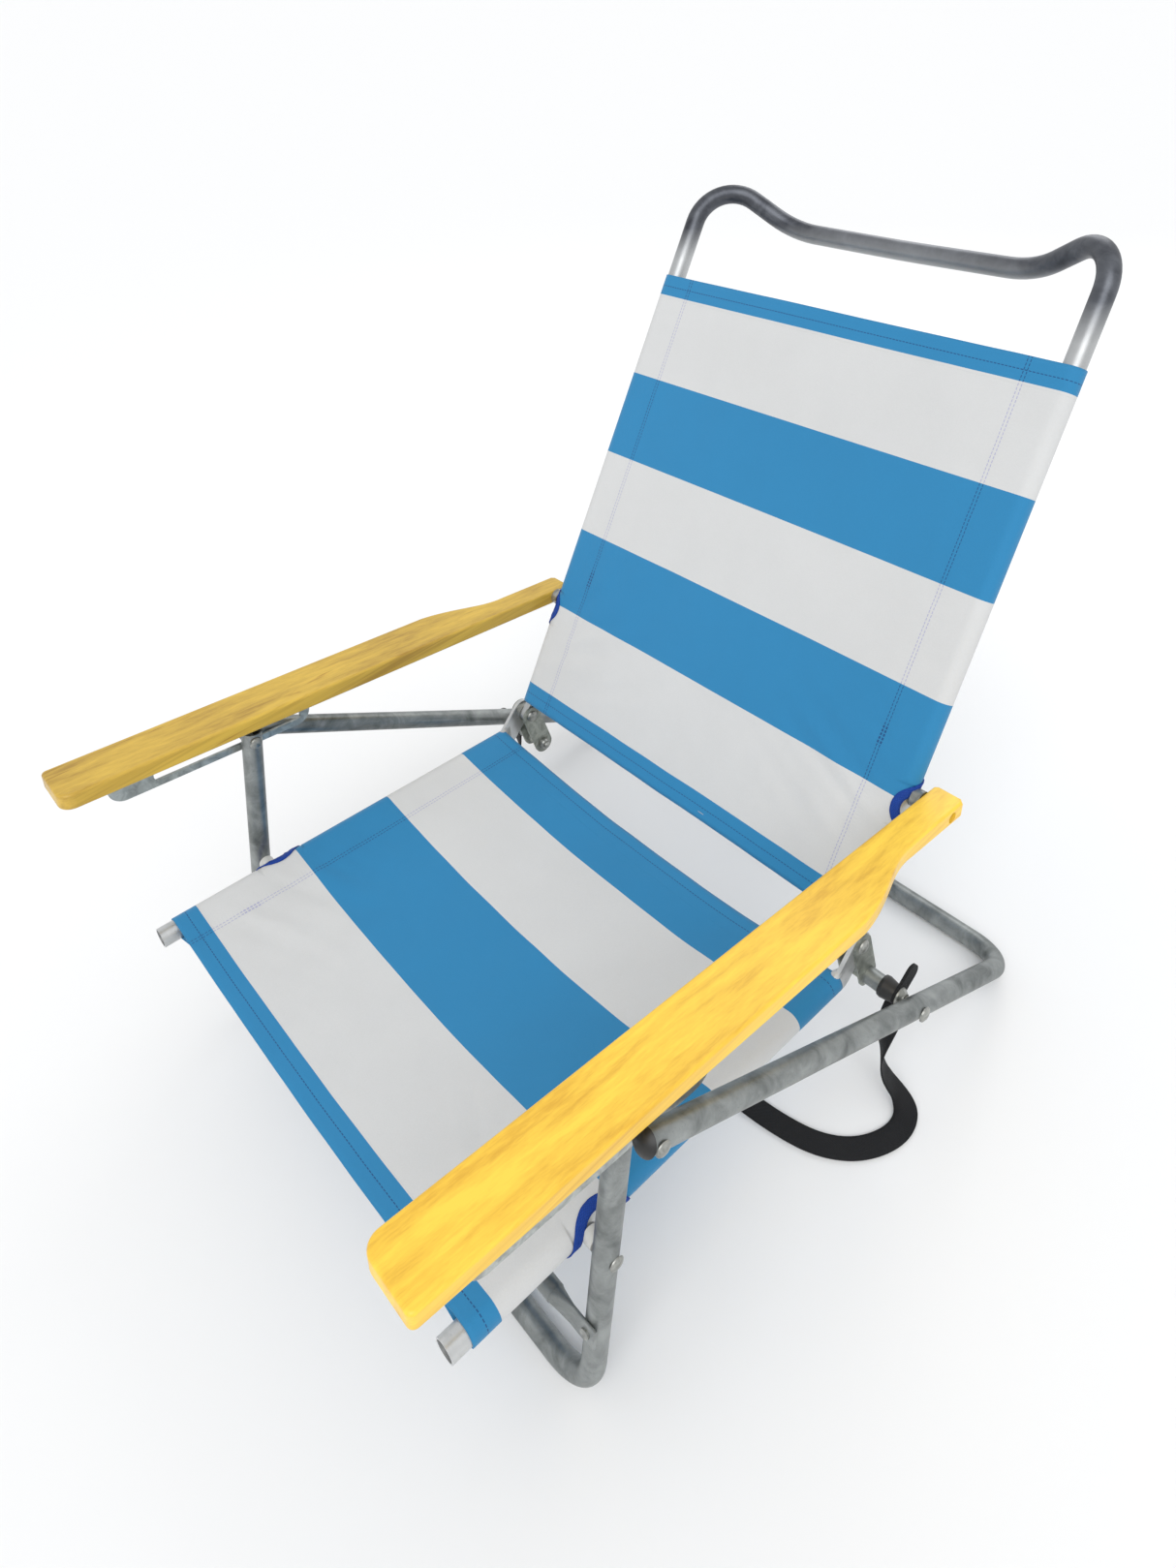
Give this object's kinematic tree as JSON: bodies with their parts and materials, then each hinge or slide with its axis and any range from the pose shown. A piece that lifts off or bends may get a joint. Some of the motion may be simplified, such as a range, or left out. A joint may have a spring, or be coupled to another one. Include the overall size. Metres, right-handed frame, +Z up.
{
  "type": "folding beach chair",
  "caption": "Low folding beach chair: bent tube frame, striped fabric slings, wooden arms on notched brackets, carrying strap.",
  "frame": {"origin": "on the ground, centred under the overall box without the strap", "axes": "+X to the sitter's left, -Y the way the sitter faces, +Z up"},
  "size_m": [0.6404, 0.8843, 0.708],
  "materials": {
    "tube": "oxidised round tube, mottled, brighter where sleeved",
    "plate": "dull zinc plated sheet",
    "bracket": "zinc plated stamping",
    "fastener": "zinc plated, lightly tarnished",
    "washer": "natural nylon",
    "black_plastic": "moulded, slight sheen",
    "arm_wood": "golden varnished hardwood",
    "sling_fabric": "plain weave in wide off-white and blue stripes",
    "strap_webbing": "flat woven webbing"
  },
  "bodies": {
    "seat": {"seat_tube_left": "tube", "seat_tube_right": "tube", "hinge_plate_inner_left": "plate", "hinge_plate_inner_right": "plate", "hinge_plate_outer_left": "plate", "hinge_plate_outer_right": "plate", "plate_pin_left": "fastener", "plate_pin_right": "fastener", "hinge_bush_left": "fastener", "hinge_bush_right": "fastener", "spacer_tube_left": "fastener", "spacer_tube_right": "fastener", "plastic_spacer_left": "black_plastic", "plastic_spacer_right": "black_plastic", "dome_washer_left": "fastener", "dome_washer_right": "fastener", "strap_tab_left": "strap_webbing", "strap_tab_right": "strap_webbing", "seat_sling": "sling_fabric", "strap": "strap_webbing"},
    "hinge_rivets": {"hinge_rivet_left": "fastener", "hinge_rivet_right": "fastener", "hinge_washer_left": "fastener", "hinge_washer_right": "fastener"},
    "back": {"back_frame": "tube", "back_sling": "sling_fabric"},
    "arm_bolts": {"arm_bolt_left": "fastener", "arm_bolt_right": "fastener", "arm_washer_left": "fastener", "arm_washer_right": "fastener"},
    "arm_left": {"arm_left": "arm_wood", "bracket_left": "bracket", "bracket_screw_rear_left": "fastener", "bracket_screw_front_left": "fastener"},
    "arm_right": {"arm_right": "arm_wood", "bracket_right": "bracket", "bracket_screw_rear_right": "fastener", "bracket_screw_front_right": "fastener"},
    "front_leg": {"front_leg": "tube", "front_brace": "tube", "brace_rivet_left": "fastener", "brace_rivet_right": "fastener", "leg_pin_left": "fastener", "leg_pin_right": "fastener", "leg_washer_inner_left": "washer", "leg_washer_inner_right": "washer", "seat_pin_left": "fastener", "seat_pin_right": "fastener", "seat_spacer_left": "washer", "seat_spacer_right": "washer"},
    "rear_leg": {"rear_leg": "tube", "rear_leg_cap_left": "black_plastic", "rear_leg_cap_right": "black_plastic", "rear_leg_rivet_left": "fastener", "rear_leg_rivet_right": "fastener", "leg_rivet_left": "fastener", "leg_rivet_right": "fastener", "leg_washer_outer_left": "washer", "leg_washer_outer_right": "washer"}
  },
  "joints": [
    {"name": "fold", "type": "hinge", "parent": "seat", "child": "front_leg", "pos_m": [0, -0.299, 0.1715], "axis": [1, 0, 0], "range_deg": [0, 82]},
    {"name": "rear_leg_fold", "type": "hinge", "parent": "front_leg", "child": "rear_leg", "pos_m": [0, -0.2658, 0.3161], "axis": [1, 0, 0], "range_deg": [-60.3, 0]},
    {"name": "back_fold", "type": "hinge", "parent": "seat", "child": "hinge_rivets", "pos_m": [0, 0.0346, 0.1713], "axis": [1, 0, 0], "range_deg": [0, 86.1]},
    {"name": "recline", "type": "hinge", "parent": "hinge_rivets", "child": "back", "pos_m": [0, 0.0346, 0.1713], "axis": [1, 0, 0], "range_deg": [-51.5, 0]},
    {"name": "arm_fold", "type": "hinge", "parent": "back", "child": "arm_bolts", "pos_m": [0, 0.11518, 0.29305], "axis": [1, 0, 0], "range_deg": [-77.3, 0]},
    {"name": "arm_left_swing", "type": "hinge", "parent": "arm_bolts", "child": "arm_left", "pos_m": [0, 0.11518, 0.29305], "axis": [1, 0, 0], "range_deg": [0, 40.1]},
    {"name": "arm_right_swing", "type": "hinge", "parent": "arm_bolts", "child": "arm_right", "pos_m": [0, 0.11518, 0.29305], "axis": [1, 0, 0], "range_deg": [0, 40.1]}
  ],
  "couplings": [
    {"joint": "rear_leg_fold", "follows": "fold", "ratio": -0.7341},
    {"joint": "back_fold", "follows": "fold", "ratio": 1.0488},
    {"joint": "arm_fold", "follows": "fold", "ratio": -0.9402},
    {"joint": "arm_left_swing", "follows": "recline", "ratio": -0.776},
    {"joint": "arm_right_swing", "follows": "recline", "ratio": -0.776}
  ]
}
